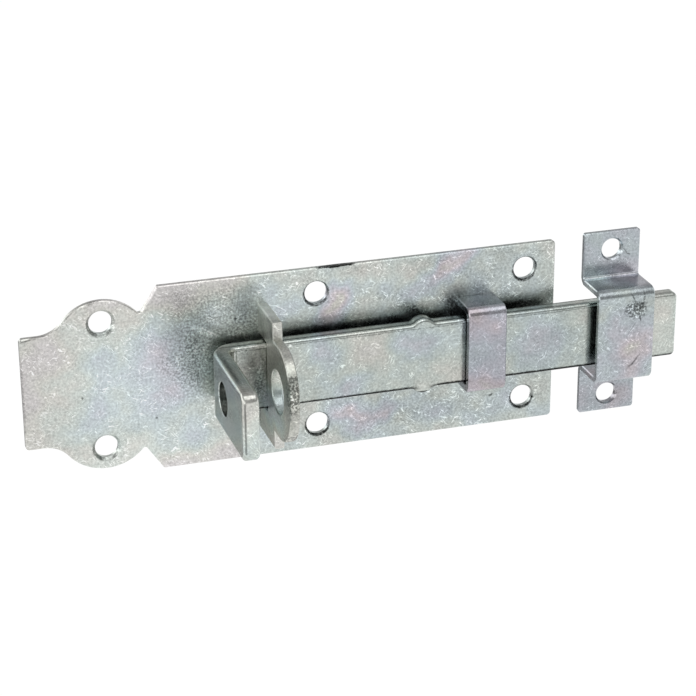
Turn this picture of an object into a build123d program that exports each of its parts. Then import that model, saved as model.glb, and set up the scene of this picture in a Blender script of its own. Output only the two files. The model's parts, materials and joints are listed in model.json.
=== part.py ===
from build123d import *
from math import radians, sqrt, tan
import os

# Flat sliding bolt for a door or a gate, pressed and bent from zinc-plated steel.
# A stamped base plate carries a padlock eye and a guide strap, both held by tenons through it.
# The bolt is one flat bar: its tail is bent outwards as a handle with a padlock hole, and two
# stops are upset on its edges between the eye and the strap. The keeper is a separate strap
# for the frame beside the door.
# Sizes are millimetres. X runs along the bolt towards the keeper, Z runs up across the plate,
# and the front faces -Y. The origin is the middle of the plate's back face. "Out" is the
# distance from the wall, so it is -Y.

# Base plate
plate_length = 164.5
plate_height = 58.0
plate_thickness = 2.0
tail_height = 35.0
tail_blend = 9.0
lobe_radius = 14.5
lobe_spacing = 24.1
notch_inset = 35.4
notch_angle = 56.0
notch_radius = 0.8
plate_corner_radius = 1.2
# Broken edge of every sheared sheet
sheet_edge_break = 0.3

# Screw holes, with insets from the plate's two ends and from its long edges
screw_hole_d = 7.0
tail_hole_inset = 23.9
tail_hole_spacing = 39.4
middle_hole_inset = 75.8
end_hole_inset = 9.8
body_hole_edge_inset = 7.8
hole_rim_break = 0.5
tail_hole_rim_break = 0.8

# Bolt bar with its handle and its stops
bar_width = 20.8
bar_thickness = 5.0
bar_standoff = 3.3
bolt_length = 147.7
bolt_projection = 37.7
handle_reach = 39.6
bend_inner_radius = 2.5
handle_corner_radius = 3.0
bolt_corner_radius = 1.5
bar_edge_radius = 1.2
handle_hole_d = 10.2
handle_hole_rim_break = 0.25
padlock_hole_out = 22.0
stop_setback = 82.5
stop_radius = 4.0
stop_rise = 1.6
stop_blend = 2.0

# Padlock eye
eye_inset = 90.7
eye_thickness = 3.0
eye_height = 40.0
eye_foot_reach = 16.0
lug_height = 28.8
lug_reach = 17.3
lug_corner_radius = 12.0
eye_hole_d = 13.2
eye_side_clearance = 0.5
eye_front_clearance = 0.4
window_corner_radius = 1.0
eye_tenon_length = 6.0

# Guide strap, which sits a little higher than the bar
strap_inset = 19.7
strap_width = 12.0
strap_lift = 0.65
strap_thickness = 2.5
strap_side_clearance = 0.95
strap_front_clearance = 0.75
strap_bend_radius = 0.6
strap_tenon_width = 6.0

# Keeper
keeper_gap = 9.6
keeper_width = 18.4
keeper_thickness = 2.0
keeper_side_clearance = 2.7
keeper_front_clearance = 2.5
keeper_bend_radius = 0.8
keeper_foot_radius = 0.8
keeper_wing = 14.7
keeper_hole_d = 6.5
keeper_hole_inset = 5.7
keeper_corner_radius = 0.8

# Clearance round every tenon in its slot
tenon_clearance = 0.05

# Places that follow from the sizes
plate_left = -plate_length / 2
plate_right = plate_length / 2
bar_back = plate_thickness + bar_standoff
bar_front = bar_back + bar_thickness
bolt_end_x = plate_right + bolt_projection
handle_outer_x = bolt_end_x - bolt_length
handle_inner_x = handle_outer_x + bar_thickness
handle_tip = bar_back + handle_reach
stop_x = bolt_end_x - stop_setback
eye_right_x = plate_right - eye_inset
eye_left_x = eye_right_x - eye_thickness
strap_right_x = plate_right - strap_inset
strap_left_x = strap_right_x - strap_width
keeper_left_x = plate_right + keeper_gap
keeper_centre_x = keeper_left_x + keeper_width / 2

front = Plane.XZ


def across(x):
    """Plane across the bolt at x: its first axis runs out from the wall, its second runs up."""
    return Plane(origin=(x, 0, 0), x_dir=(0, -1, 0), z_dir=(-1, 0, 0))


def corners_at(shape, points):
    """Corners of a sketch that lie nearest to the given points."""
    return [shape.vertices().sort_by_distance(Vector(*point))[0] for point in points]


def rims_of_holes(shape, diameter):
    """Whole circles of the given diameter among a shape's edges."""
    return shape.edges().filter_by(
        lambda edge: edge.geom_type == GeomType.CIRCLE and edge.is_closed and abs(edge.radius - diameter / 2) < 0.001
    )


def mirrored(points, middle=0):
    """The points and their mirror images, each set off up and down from the middle height."""
    return [(x, middle + side * z) for x, z in points for side in (1, -1)]


# Base plate: rectangular body, narrow tail and a round lobe at each tail hole
tail_half = tail_height / 2
plate_half = plate_height / 2
lobe_x = plate_left + tail_hole_inset
lobe_z = lobe_spacing / 2
notch_x = plate_left + notch_inset
notch_z = lobe_z + sqrt(lobe_radius**2 - (notch_x - lobe_x) ** 2)
shoulder_x = notch_x + (plate_half - notch_z) / tan(radians(notch_angle))
tail_blend_x = lobe_x - sqrt(lobe_radius**2 - (tail_half - lobe_z) ** 2)
screw_places = mirrored(
    [
        (lobe_x, tail_hole_spacing / 2),
        (plate_right - middle_hole_inset, plate_half - body_hole_edge_inset),
        (plate_right - end_hole_inset, plate_half - body_hole_edge_inset),
    ]
)

# Tenons of the eye and the strap, which also place the slots in the plate
window_half = bar_width / 2 + eye_side_clearance
window_reach = bar_front + eye_front_clearance
eye_tenon_z = (window_half + eye_height / 2) / 2
eye_centre_x = eye_right_x - eye_thickness / 2
strap_inner_half = bar_width / 2 + strap_side_clearance
strap_inner_out = bar_front + strap_front_clearance
strap_outer_half = strap_inner_half + strap_thickness
strap_front_out = strap_inner_out + strap_thickness
strap_centre_x = strap_right_x - strap_width / 2
strap_tenon_z = strap_inner_half + strap_thickness / 2

with BuildPart() as base_plate:
    with BuildSketch(front) as plate_outline:
        with BuildLine():
            Polyline(
                (notch_x, notch_z),
                (shoulder_x, plate_half),
                (plate_right, plate_half),
                (plate_right, -plate_half),
                (shoulder_x, -plate_half),
                (notch_x, -notch_z),
                close=True,
            )
        make_face()
        with Locations((plate_left, 0)):
            Rectangle(notch_inset, tail_height, align=(Align.MIN, Align.CENTER))
        with Locations(*mirrored([(lobe_x, lobe_z)])):
            Circle(lobe_radius)
        fillet(corners_at(plate_outline, mirrored([(tail_blend_x, tail_half)])), tail_blend)
        fillet(corners_at(plate_outline, mirrored([(notch_x, notch_z), (shoulder_x, plate_half)])), notch_radius)
        fillet(
            corners_at(plate_outline, mirrored([(plate_right, plate_half), (plate_left, tail_half)])),
            plate_corner_radius,
        )
        with Locations(*screw_places):
            Circle(screw_hole_d / 2, mode=Mode.SUBTRACT)
        with Locations(*mirrored([(eye_centre_x, eye_tenon_z)])):
            Rectangle(
                eye_thickness + 2 * tenon_clearance,
                eye_tenon_length + 2 * tenon_clearance,
                mode=Mode.SUBTRACT,
            )
        with Locations(*mirrored([(strap_centre_x, strap_tenon_z)], strap_lift)):
            Rectangle(
                strap_tenon_width + 2 * tenon_clearance,
                strap_thickness + 2 * tenon_clearance,
                mode=Mode.SUBTRACT,
            )
    extrude(amount=plate_thickness)
    hole_rims = rims_of_holes(base_plate.faces().sort_by(Axis.Y)[0], screw_hole_d)
    chamfer(hole_rims.filter_by_position(Axis.X, plate_left, notch_x), tail_hole_rim_break)
    hole_rims = rims_of_holes(base_plate.faces().sort_by(Axis.Y)[0], screw_hole_d)
    chamfer(hole_rims, hole_rim_break)
    plate_faces = base_plate.faces().sort_by(Axis.Y)
    chamfer(plate_faces[0].outer_wire().edges() + plate_faces[-1].outer_wire().edges(), sheet_edge_break)

# Bolt: a flat bar whose tail is bent outwards as the handle
with BuildPart() as bolt:
    with BuildSketch(Plane.XY.offset(-bar_width / 2)):
        with BuildLine():
            FilletPolyline(
                (bolt_end_x, -bar_front),
                (handle_inner_x, -bar_front),
                (handle_inner_x, -handle_tip),
                radius=bend_inner_radius,
            )
            offset(amount=bar_thickness, side=Side.RIGHT)
        make_face()
    extrude(amount=bar_width)
    # The stops are upset on the bar's two edges through its whole thickness
    stop_centre_z = bar_width / 2 + stop_rise - stop_radius
    stop_half_chord = sqrt(stop_radius**2 - (stop_radius - stop_rise) ** 2)
    stop_span = 2 * (stop_half_chord + 2 * stop_blend)
    stop_joints = mirrored([(stop_x + stop_half_chord, bar_width / 2), (stop_x - stop_half_chord, bar_width / 2)])
    with BuildSketch(front.offset(bar_back)) as stop_outline:
        with Locations((stop_x, 0)):
            Rectangle(stop_span, bar_width)
        with Locations(*mirrored([(stop_x, stop_centre_z)])):
            Circle(stop_radius)
        fillet(corners_at(stop_outline, stop_joints), stop_blend)
    extrude(amount=bar_thickness)
    with BuildSketch(across(handle_inner_x)):
        with Locations((padlock_hole_out, 0)):
            Circle(handle_hole_d / 2)
    extrude(amount=bar_thickness, mode=Mode.SUBTRACT)
    fillet(bolt.edges().filter_by(Axis.X).group_by(Axis.Y)[0], handle_corner_radius)
    fillet(bolt.edges().filter_by(Axis.Y).group_by(Axis.X)[-1], bolt_corner_radius)
    fillet(bolt.edges() - rims_of_holes(bolt, handle_hole_d), bar_edge_radius)
    chamfer(rims_of_holes(bolt, handle_hole_d), handle_hole_rim_break)

# Padlock eye: a flat bracket on edge, with a window for the bar and a round lug before it
with BuildPart() as padlock_eye:
    lug_tip = plate_thickness + eye_foot_reach + lug_reach
    with BuildSketch(across(eye_right_x)) as eye_outline:
        with Locations((plate_thickness, 0)):
            Rectangle(eye_foot_reach, eye_height, align=(Align.MIN, Align.CENTER))
            Rectangle(eye_foot_reach + lug_reach, lug_height, align=(Align.MIN, Align.CENTER))
        fillet(corners_at(eye_outline, mirrored([(lug_tip, lug_height / 2)])), lug_corner_radius)
        with Locations((padlock_hole_out, 0)):
            Circle(eye_hole_d / 2, mode=Mode.SUBTRACT)
        with Locations((plate_thickness, 0)):
            Rectangle(
                window_reach - plate_thickness,
                2 * window_half,
                align=(Align.MIN, Align.CENTER),
                mode=Mode.SUBTRACT,
            )
        fillet(corners_at(eye_outline, mirrored([(window_reach, window_half)])), window_corner_radius)
        with Locations(*mirrored([(plate_thickness / 2, eye_tenon_z)])):
            Rectangle(plate_thickness, eye_tenon_length)
    extrude(amount=eye_thickness)
    eye_faces = padlock_eye.faces().filter_by(Axis.X).group_by(Axis.X)
    eye_rims = (eye_faces[0] + eye_faces[-1]).edges().filter_by(
        lambda edge: -edge.center().Y > plate_thickness + sheet_edge_break
    )
    chamfer(eye_rims, sheet_edge_break)

# Guide strap: a strip bent over the bar, with a narrower tenon at each end
with BuildPart() as guide_strap:
    with BuildSketch(across(strap_right_x)) as strap_outline:
        with Locations((0, strap_lift)):
            Rectangle(strap_front_out, 2 * strap_outer_half, align=(Align.MIN, Align.CENTER))
        strap_outer_bends = mirrored([(strap_front_out, strap_outer_half)], strap_lift)
        fillet(corners_at(strap_outline, strap_outer_bends), strap_bend_radius + strap_thickness)
        with Locations((0, strap_lift)):
            Rectangle(
                strap_inner_out,
                2 * strap_inner_half,
                align=(Align.MIN, Align.CENTER),
                mode=Mode.SUBTRACT,
            )
        strap_inner_bends = mirrored([(strap_inner_out, strap_inner_half)], strap_lift)
        fillet(corners_at(strap_outline, strap_inner_bends), strap_bend_radius)
    extrude(amount=strap_width)
    # Each end narrows to its tenon, so the strip's shoulders rest on the plate's front
    shoulder_width = (strap_width - strap_tenon_width) / 2
    with BuildSketch(front):
        with Locations((strap_left_x, strap_lift)):
            Rectangle(shoulder_width, 2 * strap_outer_half, align=(Align.MIN, Align.CENTER))
        with Locations((strap_right_x, strap_lift)):
            Rectangle(shoulder_width, 2 * strap_outer_half, align=(Align.MAX, Align.CENTER))
    extrude(amount=plate_thickness, mode=Mode.SUBTRACT)
    strap_faces = guide_strap.faces().filter_by(Axis.X).group_by(Axis.X)
    strap_rims = (strap_faces[0] + strap_faces[-1]).edges().filter_by(
        lambda edge: -edge.center().Y > plate_thickness + sheet_edge_break
    )
    chamfer(strap_rims, sheet_edge_break)

# Keeper: a strip bent into a hat, with a screw hole in each wing
with BuildPart() as keeper:
    keeper_leg_z = bar_width / 2 + keeper_side_clearance
    keeper_half = keeper_leg_z + keeper_thickness + keeper_wing
    keeper_hole_z = keeper_half - keeper_hole_inset
    keeper_inner_out = bar_front + keeper_front_clearance
    wing_bend_radius = keeper_foot_radius + keeper_thickness
    with BuildSketch(across(keeper_left_x + keeper_width)):
        with BuildLine():
            FilletPolyline(
                (0, keeper_half),
                (0, keeper_leg_z),
                (keeper_inner_out, keeper_leg_z),
                (keeper_inner_out, -keeper_leg_z),
                (0, -keeper_leg_z),
                (0, -keeper_half),
                radius=[wing_bend_radius, keeper_bend_radius, keeper_bend_radius, wing_bend_radius],
            )
            offset(amount=keeper_thickness, side=Side.LEFT)
        make_face()
    extrude(amount=keeper_width)
    with BuildSketch(front):
        with Locations(*mirrored([(keeper_centre_x, keeper_hole_z)])):
            Circle(keeper_hole_d / 2)
    extrude(amount=keeper_thickness, mode=Mode.SUBTRACT)
    wing_corners = keeper.edges().filter_by(Axis.Y).filter_by(lambda edge: abs(edge.center().Z) > keeper_half - 0.001)
    fillet(wing_corners, keeper_corner_radius)
    chamfer(rims_of_holes(keeper, keeper_hole_d).group_by(Axis.Y)[0], hole_rim_break)
    keeper_faces = keeper.faces().filter_by(Axis.X).group_by(Axis.X)
    chamfer((keeper_faces[0] + keeper_faces[-1]).edges(), sheet_edge_break)

base_plate.part.label = "base_plate"
bolt.part.label = "bolt"
padlock_eye.part.label = "padlock_eye"
guide_strap.part.label = "guide_strap"
keeper.part.label = "keeper"

os.makedirs("parts", exist_ok=True)
export_step(base_plate.part, "parts/base_plate.step")
export_step(bolt.part, "parts/bolt.step")
export_step(padlock_eye.part, "parts/padlock_eye.step")
export_step(guide_strap.part, "parts/guide_strap.step")
export_step(keeper.part, "parts/keeper.step")
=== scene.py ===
"""Looks of a zinc-plated sliding bolt with a padlock eye, a guide strap and a loose keeper.

Every piece of the bolt is a solid of the frame, so this script dresses those solids, lights them
and sets the camera. Lengths are metres, except in patches, which are millimetres, and colours are
linear. The front faces -Y, X runs along the bolt towards the keeper, and Z is up.
"""

from __future__ import annotations

import json
import logging
import math
from dataclasses import dataclass
from enum import Enum
from typing import Mapping, Sequence, Union

import bpy
from mathutils import Matrix, Vector

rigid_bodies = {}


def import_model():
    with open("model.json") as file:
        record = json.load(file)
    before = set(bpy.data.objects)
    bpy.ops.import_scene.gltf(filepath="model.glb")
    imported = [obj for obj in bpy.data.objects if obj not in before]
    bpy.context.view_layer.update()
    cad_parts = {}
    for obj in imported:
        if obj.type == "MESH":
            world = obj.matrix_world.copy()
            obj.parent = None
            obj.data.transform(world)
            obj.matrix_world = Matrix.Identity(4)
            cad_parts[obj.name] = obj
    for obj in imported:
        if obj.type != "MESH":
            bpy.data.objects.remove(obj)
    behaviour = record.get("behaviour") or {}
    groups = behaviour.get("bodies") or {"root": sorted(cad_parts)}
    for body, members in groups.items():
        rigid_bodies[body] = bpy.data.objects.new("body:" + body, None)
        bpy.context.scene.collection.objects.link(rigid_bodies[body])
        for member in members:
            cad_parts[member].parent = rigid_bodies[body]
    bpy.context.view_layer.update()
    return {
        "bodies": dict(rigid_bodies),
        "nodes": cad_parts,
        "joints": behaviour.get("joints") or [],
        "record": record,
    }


LOG = logging.getLogger("sliding_bolt")
PICTURE_SIDE = 696.0
MILLIMETRE = 0.001
WHITE = (1.0, 1.0, 1.0, 1.0)

Triple = tuple[float, float, float]
Colour = Triple
Span = tuple[float, float]
Feed = Union["Value", float, Sequence[float]]


class Value:
    """One shader socket that takes part in Python arithmetic."""

    def __init__(self, graph: "Graph", socket: bpy.types.NodeSocket) -> None:
        """Keep the socket with the graph that it belongs to."""
        self.graph = graph
        self.socket = socket

    def math(self, operation: str, first: Feed, second: Feed) -> "Value":
        """Add one Math node.

        Args:
            operation: The node's operation.
            first: Its first value.
            second: Its second value.

        Returns:
            The node's result.
        """
        made = self.graph.node("ShaderNodeMath", {"operation": operation}, {0: first, 1: second})
        return self.graph.out(made)

    def __add__(self, other: Feed) -> "Value":
        """Add."""
        return self.math("ADD", self, other)

    def __radd__(self, other: Feed) -> "Value":
        """Add to a number."""
        return self.math("ADD", other, self)

    def __sub__(self, other: Feed) -> "Value":
        """Subtract."""
        return self.math("SUBTRACT", self, other)

    def __rsub__(self, other: Feed) -> "Value":
        """Subtract from a number."""
        return self.math("SUBTRACT", other, self)

    def __mul__(self, other: Feed) -> "Value":
        """Multiply."""
        return self.math("MULTIPLY", self, other)

    def __rmul__(self, other: Feed) -> "Value":
        """Multiply a number."""
        return self.math("MULTIPLY", other, self)

    def least(self, other: Feed) -> "Value":
        """Take the smaller of two values."""
        return self.math("MINIMUM", self, other)

    def most(self, other: Feed) -> "Value":
        """Take the larger of two values."""
        return self.math("MAXIMUM", self, other)

    def ramp(self, low: float, high: float, start: float = 0.0, end: float = 1.0) -> "Value":
        """Map the value smoothly from one range to another, held at its ends.

        Args:
            low: Value that gives start.
            high: Value that gives end.
            start: Result at low.
            end: Result at high.

        Returns:
            The mapped value.
        """
        made = self.graph.node(
            "ShaderNodeMapRange",
            {"interpolation_type": "SMOOTHSTEP"},
            {"Value": self, "From Min": low, "From Max": high, "To Min": start, "To Max": end},
        )
        return self.graph.out(made)


class Graph:
    """A node tree that is being written."""

    def __init__(self, tree: bpy.types.NodeTree) -> None:
        """Start from an empty tree."""
        self.tree = tree
        tree.nodes.clear()

    def node(
        self,
        kind: str,
        settings: Mapping[str, object] | None = None,
        inputs: Mapping[int | str, Feed] | None = None,
    ) -> bpy.types.Node:
        """Add a node.

        Args:
            kind: The node's type.
            settings: Its own settings, with "stops" for a colour ramp's positions and colours.
            inputs: Values or links of its sockets.

        Returns:
            The node.
        """
        made = self.tree.nodes.new(kind)
        for name, value in (settings or {}).items():
            if name == "stops":
                self.set_stops(made, value)
            else:
                setattr(made, name, value)
        for name, value in (inputs or {}).items():
            if isinstance(value, Value):
                self.tree.links.new(value.socket, made.inputs[name])
            else:
                made.inputs[name].default_value = value
        return made

    def set_stops(self, ramp: bpy.types.Node, stops: Sequence[tuple[float, Colour]]) -> None:
        """Give a colour ramp its stops.

        Args:
            ramp: The colour ramp node.
            stops: Position and colour of each stop.
        """
        elements = ramp.color_ramp.elements
        while len(elements) > 1:
            elements.remove(elements[-1])
        for index, (position, colour) in enumerate(stops):
            stop = elements[0] if index == 0 else elements.new(position)
            stop.position = position
            stop.color = (*colour, 1.0)

    def out(self, made: bpy.types.Node, name: int | str = 0) -> Value:
        """Wrap one output of a node."""
        return Value(self, made.outputs[name])

    def product(self, first: Feed, second: Feed) -> Value:
        """Multiply two colours.

        Args:
            first: First colour.
            second: Second colour.

        Returns:
            Their product.
        """
        settings = {"data_type": "RGBA", "blend_type": "MULTIPLY"}
        made = self.node("ShaderNodeMix", settings, {0: 1.0, 6: first, 7: second})
        return self.out(made, 2)

    def scaled(self, colour: Value, factor: Value) -> Value:
        """Make a colour brighter or darker.

        Args:
            colour: The colour.
            factor: What it is multiplied by.

        Returns:
            The scaled colour.
        """
        made = self.node("ShaderNodeVectorMath", {"operation": "SCALE"}, {0: colour, "Scale": factor})
        return self.out(made, "Vector")

    def vector(self, operation: str, first: Feed, second: Feed = (0.0, 0.0, 0.0)) -> Value:
        """Add one Vector Math node.

        Args:
            operation: The node's operation.
            first: Its first vector.
            second: Its second vector.

        Returns:
            The node's result, a number for a length.
        """
        made = self.node("ShaderNodeVectorMath", {"operation": operation}, {0: first, 1: second})
        return self.out(made, "Value" if operation == "LENGTH" else "Vector")

    def noise(self, place: Value, size: float, detail: float = 2.0, output: str = "Fac") -> Value:
        """Add a noise whose cells have a real size.

        Args:
            place: Coordinates in metres.
            size: Size of a cell in metres.
            detail: Octaves of finer noise.
            output: Name of the noise's output.

        Returns:
            The noise, about 0.5 on average.
        """
        inputs = {"Vector": place, "Scale": 1.0 / size, "Detail": detail}
        made = self.node("ShaderNodeTexNoise", {"noise_dimensions": "3D"}, inputs)
        return self.out(made, output)

    def streaks(self, place: Value, length: float, width: float, turn: float) -> Value:
        """Add a noise drawn out into fine strokes across the front.

        Args:
            place: Coordinates in metres.
            length: Length of a stroke in metres.
            width: Width of a stroke in metres.
            turn: Slope of the strokes in degrees.

        Returns:
            The noise, about 0.5 on average.
        """
        laid = self.node(
            "ShaderNodeMapping",
            {"vector_type": "TEXTURE"},
            {"Vector": place, "Rotation": (0.0, math.radians(turn), 0.0), "Scale": (length, width, width)},
        )
        return self.noise(self.out(laid), 1.0, 1.0)

    def stir(self, place: Value, size: float, reach: float) -> Value:
        """Push coordinates about on the front, so what they draw gets an irregular outline.

        Args:
            place: Coordinates in metres.
            size: Size of the swirls in metres.
            reach: Furthest push in metres.

        Returns:
            The moved coordinates.
        """
        push = self.vector("SUBTRACT", self.noise(place, size, 2.0, "Color"), (0.5, 0.5, 0.5))
        return self.vector("ADD", place, self.vector("MULTIPLY", push, (2.0 * reach, 0.0, 2.0 * reach)))


class Effect(Enum):
    """What a patch changes."""

    FILM = "thickness of the film"
    SHADE = "brightness of a cloud with no clear outline"
    BAND = "brightness of a straight soft band"
    SPECKLE = "dark and pale grain"
    MARK = "brightness, with a sharp edge"
    RIM = "brightness of a ring at the patch's outline"


# Where a patch's edges lie, from its middle at 0 to its outline at 1.
RIM_INSIDE: Span = (0.68, 0.78)
RIM_OUTSIDE: Span = (0.84, 0.94)
MARK_EDGE: Span = (0.6, 1.0)
SOFT_EDGE: Span = (0.0, 1.0)


@dataclass(frozen=True)
class Patch:
    """Oval patch on a front face, in millimetres."""

    effect: Effect
    x: float
    z: float
    across: float
    up: float
    amount: float
    turn: float = 0.0
    out: float = 0.0
    depth: float = 60.0

    def mask(self, graph: Graph, place: Value) -> Value:
        """Draw the patch.

        Args:
            graph: The material's nodes.
            place: Coordinates in metres.

        Returns:
            Up to one on the patch, or on its ring for a rim, and zero outside it.
        """
        laid = graph.node(
            "ShaderNodeMapping",
            {"vector_type": "TEXTURE"},
            {
                "Vector": place,
                "Location": (self.x * MILLIMETRE, -self.out * MILLIMETRE, self.z * MILLIMETRE),
                "Rotation": (0.0, -math.radians(self.turn), 0.0),
                "Scale": (self.across * MILLIMETRE, self.depth * MILLIMETRE, self.up * MILLIMETRE),
            },
        )
        distance = graph.vector("LENGTH", graph.out(laid))
        if self.effect is Effect.RIM:
            return distance.ramp(*RIM_INSIDE) * distance.ramp(*RIM_OUTSIDE, 1.0, 0.0)
        edge = MARK_EDGE if self.effect is Effect.MARK else SOFT_EDGE
        return distance.ramp(*edge, 1.0, 0.0)


FILM_COLOURS: tuple[tuple[float, Colour], ...] = (
    (0.00, (1.0, 0.97, 0.96)),
    (0.18, (1.0, 0.995, 0.935)),
    (0.36, (0.925, 1.0, 0.95)),
    (0.50, (0.88, 0.985, 1.0)),
    (0.62, (0.865, 0.94, 1.0)),
    (0.75, (0.925, 0.925, 1.0)),
    (0.88, (1.0, 0.925, 0.965)),
    (1.00, (1.0, 0.98, 0.915)),
)


@dataclass(frozen=True)
class Cells:
    """Sizes of a finish's noises, and size and reach of its swirls, in metres."""

    film: float = 0.016
    waves: float = 0.012
    cloud: float = 0.006
    worn: float = 0.005
    grit: float = 0.0007
    dots: float = 0.00065
    grain: float = 0.0006
    soft_swirl: Span = (0.011, 0.006)
    sharp_swirl: Span = (0.0012, 0.0003)
    stroke_swirl: Span = (0.004, 0.0022)


CELLS = Cells()
DARK_DOTS: Span = (0.54, 0.42)
DARKEST_DOT = 0.62
PALE_DOTS = (0.55, 0.65, 0.0, 0.35)


@dataclass(frozen=True)
class ZincFinish:
    """Bright zinc plating of one piece, tinted by a film of uneven thickness."""

    name: str
    base: Colour
    seed: Triple
    film: float
    patches: tuple[Patch, ...]
    roughness: Span = (0.17, 0.27)
    unevenness: float = 0.55
    cloudiness: float = 0.5
    grain: float = 0.7
    waviness: float = 6.0
    bump_height: float = 0.00002
    grit: float = 1.0
    scratches: float = 0.6
    darkest: float = 0.02

    def total(self, graph: Graph, place: Value, effect: Effect, start: Feed) -> Feed:
        """Add up the patches of one effect.

        Args:
            graph: The material's nodes.
            place: Coordinates in metres.
            effect: The effect.
            start: Value without any patch.

        Returns:
            The sum, or start itself where the piece has no such patch.
        """
        level = start
        for patch in self.patches:
            if patch.effect is effect:
                level = patch.mask(graph, place) * patch.amount + level
        return level

    def material(self) -> bpy.types.Material:
        """Build the material."""
        made = bpy.data.materials.new(self.name)
        made.use_nodes = True
        graph = Graph(made.node_tree)
        place = graph.out(graph.node("ShaderNodeTexCoord"), "Object")
        moved = graph.vector("ADD", place, self.seed)
        stirred = graph.stir(place, *CELLS.soft_swirl)
        cloud = graph.noise(moved, CELLS.cloud, 4.0)
        level = self.brightness(graph, place, stirred, moved, cloud)
        level = self.speckled(graph, stirred, moved, level)
        colour = graph.product((*self.base, 1.0), self.tint(graph, stirred, moved))
        shader = graph.node(
            "ShaderNodeBsdfPrincipled",
            {},
            {
                "Base Color": graph.scaled(colour, level.most(self.darkest)),
                "Metallic": 1.0,
                "Roughness": cloud.ramp(0.3, 0.7, *self.roughness),
                "Normal": self.relief(graph, moved),
            },
        )
        graph.node("ShaderNodeOutputMaterial", {}, {"Surface": graph.out(shader)})
        return made

    def tint(self, graph: Graph, stirred: Value, moved: Value) -> Value:
        """Colour the film by its thickness.

        Args:
            graph: The material's nodes.
            stirred: Coordinates with soft swirls.
            moved: Coordinates for this piece's noises.

        Returns:
            The film's colour.
        """
        wander = (graph.noise(moved, CELLS.film, 3.0) - 0.5) * (2.0 * self.unevenness)
        thickness = self.total(graph, stirred, Effect.FILM, wander + self.film)
        return graph.out(graph.node("ShaderNodeValToRGB", {"stops": FILM_COLOURS}, {0: thickness}))

    def brightness(self, graph: Graph, place: Value, stirred: Value, moved: Value, cloud: Value) -> Value:
        """Shade the zinc with clouds, grit, fine scratches and the patches that draw on it.

        Args:
            graph: The material's nodes.
            place: Coordinates in metres.
            stirred: The same with soft swirls.
            moved: The same for this piece's noises.
            cloud: Noise of the clouds.

        Returns:
            The brightness, about one on average.
        """
        grit = graph.noise(moved, CELLS.grit, 2.0)
        frayed = graph.stir(place, *CELLS.sharp_swirl)
        level = (cloud - 0.5) * self.cloudiness + 1.0 + (grit - 0.5) * self.grit
        level = self.total(graph, stirred, Effect.SHADE, level)
        level = self.total(graph, place, Effect.BAND, level)
        level = self.total(graph, place, Effect.RIM, level)
        return self.total(graph, frayed, Effect.MARK, level + self.strokes(graph, moved))

    def strokes(self, graph: Graph, moved: Value) -> Value:
        """Draw fine pale scratches in two directions, denser where the surface is worn.

        Args:
            graph: The material's nodes.
            moved: Coordinates for this piece's noises.

        Returns:
            What the scratches add to the brightness.
        """
        bent = graph.stir(moved, *CELLS.stroke_swirl)
        rising = graph.streaks(bent, 0.0016, 0.0003, 32.0).ramp(0.6, 0.72)
        falling = graph.streaks(bent, 0.0022, 0.00028, -48.0).ramp(0.62, 0.74)
        worn = graph.noise(moved, CELLS.worn, 3.0).ramp(0.4, 0.62, 0.25, 1.4)
        return (rising + falling) * worn * self.scratches

    def speckled(self, graph: Graph, stirred: Value, moved: Value, level: Value) -> Value:
        """Strew dark and pale grains where the speckle patches lie.

        Args:
            graph: The material's nodes.
            stirred: Coordinates with soft swirls.
            moved: Coordinates for this piece's noises.
            level: Brightness without grains.

        Returns:
            Brightness with grains, or the same where the piece has no such patch.
        """
        share = self.total(graph, stirred, Effect.SPECKLE, 0.0)
        if not isinstance(share, Value):
            return level
        dots = graph.noise(moved, CELLS.dots, 2.0)
        darkened = level * (1.0 - (share * dots.ramp(*DARK_DOTS)).least(DARKEST_DOT))
        return darkened + share * dots.ramp(*PALE_DOTS)

    def relief(self, graph: Graph, moved: Value) -> Value:
        """Roughen the surface with fine grain on shallow waves.

        Args:
            graph: The material's nodes.
            moved: Coordinates for this piece's noises.

        Returns:
            The bumped normal.
        """
        waves = graph.noise(moved, CELLS.waves, 1.0) * self.waviness
        height = graph.noise(moved, CELLS.grain, 2.0) + waves
        inputs = {"Height": height, "Strength": self.grain, "Distance": self.bump_height}
        return graph.out(graph.node("ShaderNodeBump", {}, inputs))


@dataclass(frozen=True)
class Flag:
    """Grey card that keeps light off one side, out of the camera's sight."""

    name: str
    centre: Triple
    width: float
    height: float
    level: float

    def build(self) -> None:
        """Stand the card up, facing the bolt."""
        bpy.ops.object.select_all(action="DESELECT")
        bpy.ops.mesh.primitive_plane_add(size=1.0, location=self.centre)
        card = bpy.context.object
        card.name = self.name
        card.scale = (self.width, self.height, 1.0)
        card.rotation_euler = (-Vector(self.centre)).to_track_quat("Z", "Y").to_euler()
        card.visible_camera = False
        card.visible_shadow = False
        card.visible_diffuse = False
        made = bpy.data.materials.new(self.name)
        made.use_nodes = True
        graph = Graph(made.node_tree)
        felt = graph.node("ShaderNodeBsdfDiffuse", {}, {"Color": (self.level, self.level, self.level, 1.0)})
        graph.node("ShaderNodeOutputMaterial", {}, {"Surface": graph.out(felt)})
        card.data.materials.append(made)


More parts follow.
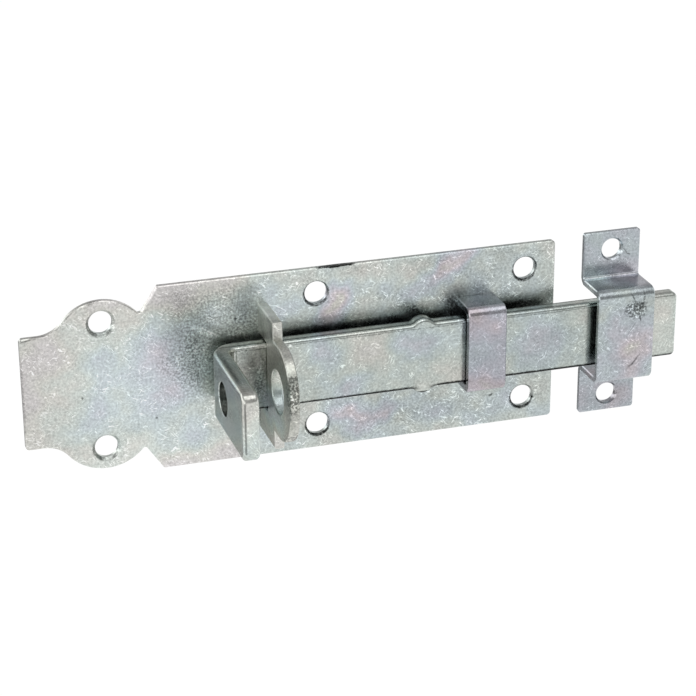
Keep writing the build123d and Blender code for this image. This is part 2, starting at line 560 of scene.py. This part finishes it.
@dataclass
class Studio:
    """White floor, dim room with a pale horizon, a soft box overhead and grey cards beside the bolt."""

    floor_height: float = -0.25
    floor_reach: float = 6.0
    floor_paint: float = 0.8
    floor_glow: float = 1.14
    floor_glow_share: float = 0.8
    room_behind: float = 0.5
    room_before: float = 0.4
    room_turn: Span = (-0.4, 0.4)
    horizon: Span = (0.12, 0.24)
    ceiling: float = 0.4
    ceiling_rise: Span = (0.6, 0.85)
    ceiling_fade: Span = (-0.1, 0.2)
    window: float = 1.2
    window_side: Span = (-0.28, -0.4)
    window_top: Span = (0.5, 0.4)
    window_foot: Span = (0.0, 0.1)
    lamp_place: Triple = (0.0, -0.3, 0.7)
    lamp_size: Span = (0.8, 0.5)
    lamp_watts: float = 1.1
    flags: tuple[Flag, ...] = (
        Flag("flag_behind", (-0.16, 0.42, -0.14), 0.5, 0.22, 0.5),
        Flag("flag_before", (-0.26, -0.40, -0.18), 0.42, 0.4, 0.5),
    )

    def build(self) -> None:
        """Make the floor, the room, the lamp and the cards."""
        self.make_floor()
        self.make_room()
        self.make_lamp()
        for flag in self.flags:
            flag.build()

    def make_floor(self) -> None:
        """Lay a plain white floor well below the bolt."""
        bpy.ops.object.select_all(action="DESELECT")
        bpy.ops.mesh.primitive_plane_add(size=2 * self.floor_reach, location=(0.0, 0.0, self.floor_height))
        floor = bpy.context.object
        floor.name = "floor"
        made = bpy.data.materials.new("floor_white")
        made.use_nodes = True
        graph = Graph(made.node_tree)
        rays = graph.node("ShaderNodeLightPath")
        direct = graph.out(rays, "Is Camera Ray").most(graph.out(rays, "Is Glossy Ray"))
        seen = direct.most(graph.out(rays, "Is Transmission Ray"))
        grey = (self.floor_paint, self.floor_paint, self.floor_paint, 1.0)
        paint = graph.node("ShaderNodeBsdfDiffuse", {}, {"Color": grey})
        white = graph.node("ShaderNodeEmission", {}, {"Color": WHITE, "Strength": self.floor_glow})
        inputs = {0: seen * self.floor_glow_share, 1: graph.out(paint), 2: graph.out(white)}
        surface = graph.node("ShaderNodeMixShader", {}, inputs)
        graph.node("ShaderNodeOutputMaterial", {}, {"Surface": graph.out(surface)})
        floor.data.materials.append(made)

    def make_room(self) -> None:
        """Light the world by direction: a horizon, walls, a ceiling in front and a window at the left."""
        world = bpy.data.worlds.new("room")
        bpy.context.scene.world = world
        world.use_nodes = True
        graph = Graph(world.node_tree)
        direction = graph.out(graph.node("ShaderNodeTexCoord"), "Generated")
        parts = graph.node("ShaderNodeSeparateXYZ", {}, {0: direction})
        side, depth, height = graph.out(parts, "X"), graph.out(parts, "Y"), graph.out(parts, "Z")
        wall = depth.ramp(*self.room_turn, self.room_before, self.room_behind)
        band = height.ramp(*self.horizon, 1.0, 0.0)
        before = depth.ramp(*self.ceiling_fade, 1.0, 0.0)
        overhead = height.ramp(*self.ceiling_rise, 0.0, self.ceiling) * before
        opening = side.ramp(*self.window_side) * height.ramp(*self.window_top)
        window = opening * height.ramp(*self.window_foot) * self.window
        level = band + (1.0 - band) * wall + overhead + window
        background = graph.node("ShaderNodeBackground", {}, {"Color": WHITE, "Strength": level})
        graph.node("ShaderNodeOutputWorld", {}, {"Surface": graph.out(background)})

    def make_lamp(self) -> None:
        """Hang a soft box above and in front of the bolt."""
        lamp = bpy.data.lights.new("overhead_box", "AREA")
        lamp.shape = "RECTANGLE"
        lamp.size, lamp.size_y = self.lamp_size
        lamp.energy = self.lamp_watts
        hung = bpy.data.objects.new("overhead_box", lamp)
        bpy.context.collection.objects.link(hung)
        hung.location = self.lamp_place
        hung.rotation_euler = (Vector((0.0, 0.0, 0.0)) - hung.location).to_track_quat("-Z", "Y").to_euler()


@dataclass(frozen=True)
class PhotographCamera:
    """Camera at the photograph's viewpoint."""

    place: Triple = (-0.168047, -0.599477, 0.265004)
    right: Triple = (0.954824, -0.297104, -0.006319)
    up: Triple = (0.120662, 0.368172, 0.921895)
    back: Triple = (-0.271572, -0.88101, 0.387389)
    focal_pixels: float = 2261.264
    sensor_width: float = 36.0
    clip: Span = (0.01, 50.0)

    def build(self) -> None:
        """Make the camera and hand it to the scene."""
        data = bpy.data.cameras.new("photograph")
        data.sensor_width = self.sensor_width
        data.lens = self.focal_pixels / PICTURE_SIDE * data.sensor_width
        data.clip_start, data.clip_end = self.clip
        camera = bpy.data.objects.new("photograph", data)
        bpy.context.collection.objects.link(camera)
        turn = Matrix((self.right, self.up, self.back)).transposed()
        camera.matrix_world = Matrix.Translation(self.place) @ turn.to_4x4()
        bpy.context.scene.camera = camera


@dataclass
class PlatedPiece:
    """One solid of the frame with its zinc finish."""

    node: str
    finish: ZincFinish

    def dress(self, frame: Mapping[str, Mapping[str, bpy.types.Object]]) -> None:
        """Put the finish in every slot of the solid.
        """
        material = self.finish.material()
        for slot in frame["nodes"][self.node].material_slots:
            slot.material = material


# Pairs of screw holes: place along the plate, height above and below its middle, and reach and amount of
# the painted shade ring on each rim.
SCREW_HOLES = (
    (-58.35, 19.7, 4.75, -0.5),
    (6.45, 21.2, 4.5, -0.7),
    (72.45, 21.2, 4.5, -0.7),
)
# Painted shade: a dark ring round each screw hole's rim, set a little down and to the left.
RIM_SHIFT = 0.2
HOLE_RIM_SHADE = tuple(
    Patch(Effect.RIM, x - RIM_SHIFT, side * z - RIM_SHIFT, reach, reach, amount, 0.0, 2.0, 1.5)
    for x, z, reach, amount in SCREW_HOLES
    for side in (1.0, -1.0)
)


@dataclass
class BasePlate(PlatedPiece):
    """Stamped base plate, with its film thin at the edges and thick beside the handle."""

    node: str = "base_plate"
    finish: ZincFinish = ZincFinish(
        "plate_zinc",
        (0.62, 0.62, 0.62),
        (0.0, 0.0, 0.0),
        0.38,
        (
            Patch(Effect.FILM, -42.0, -2.0, 32.0, 26.0, 0.24),
            Patch(Effect.FILM, -86.0, 0.0, 26.0, 44.0, -0.4),
            Patch(Effect.FILM, -42.0, 31.0, 52.0, 16.0, -0.4),
            Patch(Effect.FILM, -28.0, -30.0, 28.0, 12.0, -0.45),
            Patch(Effect.FILM, -2.0, 20.0, 12.0, 7.0, 0.22),
            Patch(Effect.FILM, 12.0, 17.0, 6.0, 13.0, 0.6, -24.0),
            Patch(Effect.FILM, 28.0, 20.0, 12.0, 9.0, 0.2),
            Patch(Effect.FILM, 46.0, 23.0, 18.0, 6.0, 0.6, 32.0),
            Patch(Effect.FILM, 62.0, 18.0, 12.0, 8.0, 0.12),
            Patch(Effect.FILM, 20.0, -19.5, 20.0, 8.0, 0.6),
            Patch(Effect.FILM, 41.0, -21.0, 13.0, 9.0, 0.3),
            Patch(Effect.SHADE, 50.0, 0.0, 95.0, 95.0, -0.24),
            Patch(Effect.SHADE, -50.0, 0.0, 40.0, 32.0, 0.1),
            Patch(Effect.SHADE, 20.0, 24.0, 26.0, 8.0, 0.1),
            Patch(Effect.SHADE, 30.0, -21.0, 30.0, 9.0, -0.07),
            # Painted shade: dark bands on the plate just above the bar, reaching into the corner beside the
            # guide strap.
            Patch(Effect.BAND, 20.0, 9.2, 60.0, 3.0, -0.6, 0.0, 2.0, 1.5),
            Patch(Effect.BAND, 68.0, 9.8, 18.0, 3.4, -0.65, 0.0, 2.0, 1.5),
            Patch(Effect.BAND, 51.0, 12.6, 4.5, 7.0, -0.45, 0.0, 2.0, 1.5),
            Patch(Effect.MARK, -82.1, 0.0, 0.35, 17.0, -0.35, 0.0, 2.0, 1.5),
            # Painted shade round the screw holes' rims.
            *HOLE_RIM_SHADE,
            Patch(Effect.SHADE, -50.0, -26.0, 40.0, 14.0, 0.12),
            Patch(Effect.SPECKLE, -30.0, 6.0, 18.0, 22.0, 0.6, 0.0, 2.0, 1.5),
            Patch(Effect.SPECKLE, -14.0, 15.0, 13.0, 8.0, 0.5, 0.0, 2.0, 1.5),
            Patch(Effect.SPECKLE, -25.0, 23.0, 24.0, 9.0, 0.35, 0.0, 2.0, 1.5),
            Patch(Effect.SPECKLE, 36.6, 12.6, 6.0, 3.0, 0.9, 0.0, 2.0, 1.5),
            Patch(Effect.SPECKLE, 49.0, 12.0, 3.0, 7.0, 0.8, 0.0, 2.0, 1.5),
            # Painted reflection: a pale streak where the handle's rounded edge shows in the plate.
            Patch(Effect.MARK, -27.5, 13.0, 6.0, 1.0, 0.55, -28.0, 2.0, 1.5),
            Patch(Effect.MARK, -64.9, -3.0, 0.45, 0.45, -0.7, 0.0, 2.0, 1.5),
            Patch(Effect.MARK, -43.1, -12.4, 0.45, 0.45, -0.6, 0.0, 2.0, 1.5),
            Patch(Effect.MARK, -18.4, 16.2, 0.5, 0.5, -0.8, 0.0, 2.0, 1.5),
            Patch(Effect.MARK, -61.0, 1.5, 3.2, 0.25, 0.22, 60.0, 2.0, 1.5),
            Patch(Effect.MARK, -59.5, -3.4, 2.6, 0.22, 0.2, -55.0, 2.0, 1.5),
            Patch(Effect.MARK, -62.6, 5.0, 2.0, 0.22, 0.2, 75.0, 2.0, 1.5),
            Patch(Effect.MARK, -78.0, 17.3, 6.0, 0.35, -0.5, 8.0, 2.0, 1.5),
            Patch(Effect.MARK, -60.5, 26.2, 2.6, 0.35, -0.5, 10.0, 2.0, 1.5),
            Patch(Effect.MARK, 12.5, 28.9, 7.6, 0.45, -0.95, 0.0, 1.4, 1.5),
            Patch(Effect.MARK, 67.0, -23.8, 2.8, 0.22, 0.3, 70.0, 2.0, 1.5),
            Patch(Effect.MARK, 62.2, -19.3, 0.9, 0.5, -0.45, 20.0, 2.0, 1.5),
            Patch(Effect.MARK, 75.6, -22.0, 1.0, 0.5, -0.45, 0.0, 2.0, 1.5),
        ),
        roughness=(0.25, 0.36),
    )


@dataclass
class SlidingBolt(PlatedPiece):
    """Flat bar with its bent handle, bluish in places."""

    node: str = "bolt"
    finish: ZincFinish = ZincFinish(
        "bolt_zinc",
        (0.50, 0.505, 0.50),
        (0.3, 0.1, 0.2),
        0.34,
        (
            Patch(Effect.FILM, 8.0, 4.0, 12.0, 8.0, 0.24),
            Patch(Effect.FILM, 33.0, 5.0, 12.0, 8.0, 0.28),
            Patch(Effect.FILM, 75.0, 0.0, 18.0, 14.0, 0.28),
            Patch(Effect.FILM, 14.0, -7.0, 12.0, 5.0, 0.14),
            Patch(Effect.FILM, 114.0, 0.0, 14.0, 18.0, -0.1),
            Patch(Effect.SHADE, 78.0, 0.0, 34.0, 34.0, -0.1),
            Patch(Effect.SHADE, 116.0, 0.0, 14.0, 20.0, 0.18),
            Patch(Effect.SHADE, -25.0, 0.0, 8.0, 18.0, 0.3, 0.0, 45.0, 6.0),
            # Painted shade on the bar's front between the handle and the eye.
            Patch(Effect.SHADE, -16.5, 0.0, 9.0, 20.0, -0.45, 0.0, 10.3, 4.0),
            # Painted reflection: a dark strip along the handle's top narrow face.
            Patch(Effect.BAND, -26.2, 10.4, 1.2, 2.2, -0.75, 0.0, 26.0, 22.0),
            # Painted shade inside the handle's hole.
            Patch(Effect.MARK, -25.25, 0.0, 2.8, 7.5, -0.75, 0.0, 22.0, 7.5),
            # Painted highlight along the handle's rounded top-left edge.
            Patch(Effect.MARK, -27.35, 9.9, 0.7, 0.7, 0.6, 0.0, 25.0, 24.0),
            Patch(Effect.SPECKLE, -13.5, -1.0, 4.0, 10.0, 0.6, 0.0, 10.3, 3.0),
            Patch(Effect.SPECKLE, -27.0, 1.0, 4.0, 7.0, 0.6, 0.0, 22.0, 9.0),
            # Painted shade: a dark line along the bar's lower edge, taken off the stop bump and drawn below
            # it instead.
            Patch(Effect.BAND, 55.0, -10.1, 150.0, 1.15, -2.4, 0.0, 9.7, 4.0),
            Patch(Effect.BAND, 37.45, -10.1, 7.5, 1.25, 2.4, 0.0, 9.7, 4.0),
            Patch(Effect.BAND, 37.45, -11.8, 5.5, 0.9, -2.0, 0.0, 9.7, 4.0),
            # Painted reflections: dark and pale stripes along the bar's top face, and a dark line along its
            # front top edge.
            Patch(Effect.MARK, 36.0, 10.4, 110.0, 3.0, -0.75, 0.0, 6.3, 0.5),
            Patch(Effect.MARK, 36.0, 10.4, 110.0, 3.0, 0.5, 0.0, 7.6, 0.8),
            Patch(Effect.MARK, 36.0, 10.4, 110.0, 3.0, -0.7, 0.0, 9.0, 0.35),
            Patch(Effect.MARK, 36.0, 9.2, 110.0, 0.22, -0.4, 0.0, 10.2, 2.0),
        ),
    )


@dataclass
class PadlockEye(PlatedPiece):
    """Upright bracket with the padlock's hole, darker and rougher than the plate."""

    node: str = "padlock_eye"
    finish: ZincFinish = ZincFinish(
        "eye_zinc",
        (0.59, 0.605, 0.585),
        (0.7, 0.2, 0.5),
        0.16,
        (
            Patch(Effect.FILM, -10.0, -8.0, 8.0, 12.0, 0.6, 0.0, 15.0, 20.0),
            Patch(Effect.SHADE, -10.0, 0.0, 8.0, 24.0, -0.34, 0.0, 38.0, 9.0),
            # Painted light: the top of the eye's leg made paler.
            Patch(Effect.SHADE, -10.0, 20.0, 8.0, 3.0, 0.9, 0.0, 10.0, 12.0),
            Patch(Effect.SPECKLE, -10.0, 4.0, 6.0, 8.0, 1.8, 0.0, 35.3, 6.0),
            Patch(Effect.SPECKLE, -10.0, -12.0, 6.0, 2.5, 0.9, 0.0, 31.0, 6.0),
            Patch(Effect.BAND, -10.0, -13.4, 6.0, 2.4, -0.7, 0.0, 31.0, 7.0),
            Patch(Effect.SHADE, -12.0, -12.0, 3.0, 10.0, 0.25, 0.0, 22.0, 12.0),
        ),
        roughness=(0.3, 0.42),
        grain=1.2,
    )


@dataclass
class GuideStrap(PlatedPiece):
    """Bent guide strap, lavender grey."""

    node: str = "guide_strap"
    finish: ZincFinish = ZincFinish(
        "strap_zinc",
        (0.425, 0.42, 0.43),
        (0.9, 0.4, 0.1),
        0.72,
        (
            Patch(Effect.FILM, 56.0, -13.0, 14.0, 8.0, 0.14),
            # Painted light: the strap's top leg made paler.
            Patch(Effect.SHADE, 56.0, 15.0, 14.0, 3.0, 0.6, 0.0, 6.0, 9.0),
            Patch(Effect.MARK, 55.6, -6.6, 1.6, 0.3, 0.35, 50.0, 13.5, 2.0),
            Patch(Effect.MARK, 57.0, -7.6, 2.0, 0.3, 0.3, -40.0, 13.5, 2.0),
            Patch(Effect.MARK, 58.4, -6.0, 1.4, 0.25, 0.3, 65.0, 13.5, 2.0),
            Patch(Effect.MARK, 53.8, 2.6, 1.2, 0.25, 0.25, 30.0, 13.5, 2.0),
        ),
    )


@dataclass
class Keeper(PlatedPiece):
    """Hat-shaped keeper, with a flaw and a few scratches on its front."""

    node: str = "keeper"
    finish: ZincFinish = ZincFinish(
        "keeper_zinc",
        (0.475, 0.475, 0.475),
        (0.5, 0.8, 0.3),
        0.6,
        (
            Patch(Effect.FILM, 104.0, -4.0, 11.0, 14.0, 0.26, 0.0, 14.8, 9.0),
            Patch(Effect.FILM, 94.0, 3.0, 7.0, 12.0, -0.14, 0.0, 14.8, 9.0),
            Patch(Effect.FILM, 101.0, -26.0, 14.0, 8.0, 0.12),
            Patch(Effect.BAND, 101.0, -24.0, 20.0, 10.0, -0.2, 0.0, 2.0, 4.0),
            # Painted light: the keeper's top leg made paler.
            Patch(Effect.SHADE, 101.0, 15.5, 18.0, 3.0, 1.0, 0.0, 7.0, 9.0),
            Patch(Effect.SPECKLE, 105.2, 9.8, 4.0, 5.2, 3.0, 0.0, 14.8, 2.0),
            Patch(Effect.MARK, 105.3, 9.4, 2.2, 1.9, -0.5, 20.0, 14.8, 2.0),
            Patch(Effect.MARK, 103.4, 12.0, 2.2, 0.4, -0.5, -62.0, 14.8, 2.0),
            Patch(Effect.MARK, 106.6, 12.2, 1.9, 0.4, -0.5, 80.0, 14.8, 2.0),
            Patch(Effect.MARK, 105.4, 6.0, 2.0, 0.35, -0.7, -75.0, 14.8, 2.0),
            Patch(Effect.MARK, 103.2, 3.0, 2.2, 0.25, -0.3, 60.0, 14.8, 2.0),
            Patch(Effect.MARK, 104.2, -8.4, 3.6, 0.35, -0.4, 52.0, 14.8, 2.0),
            Patch(Effect.MARK, 103.0, -9.4, 2.4, 0.3, -0.4, 45.0, 14.8, 2.0),
            Patch(Effect.MARK, 105.4, 23.2, 1.2, 0.3, -0.5, -55.0, 2.0, 2.0),
            Patch(Effect.MARK, 106.4, 22.0, 0.9, 0.25, -0.5, -20.0, 2.0, 2.0),
        ),
    )


def main() -> None:
    """Dress the bolt, light it and set the camera."""
    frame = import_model()
    bpy.context.scene.view_settings.view_transform = "Standard"
    for piece in (BasePlate(), SlidingBolt(), PadlockEye(), GuideStrap(), Keeper()):
        piece.dress(frame)
        LOG.info("dressed %s", piece.node)
    Studio().build()
    PhotographCamera().build()


if __name__ == "__main__":
    logging.basicConfig(level=logging.INFO, format="%(name)s: %(message)s")
    main()
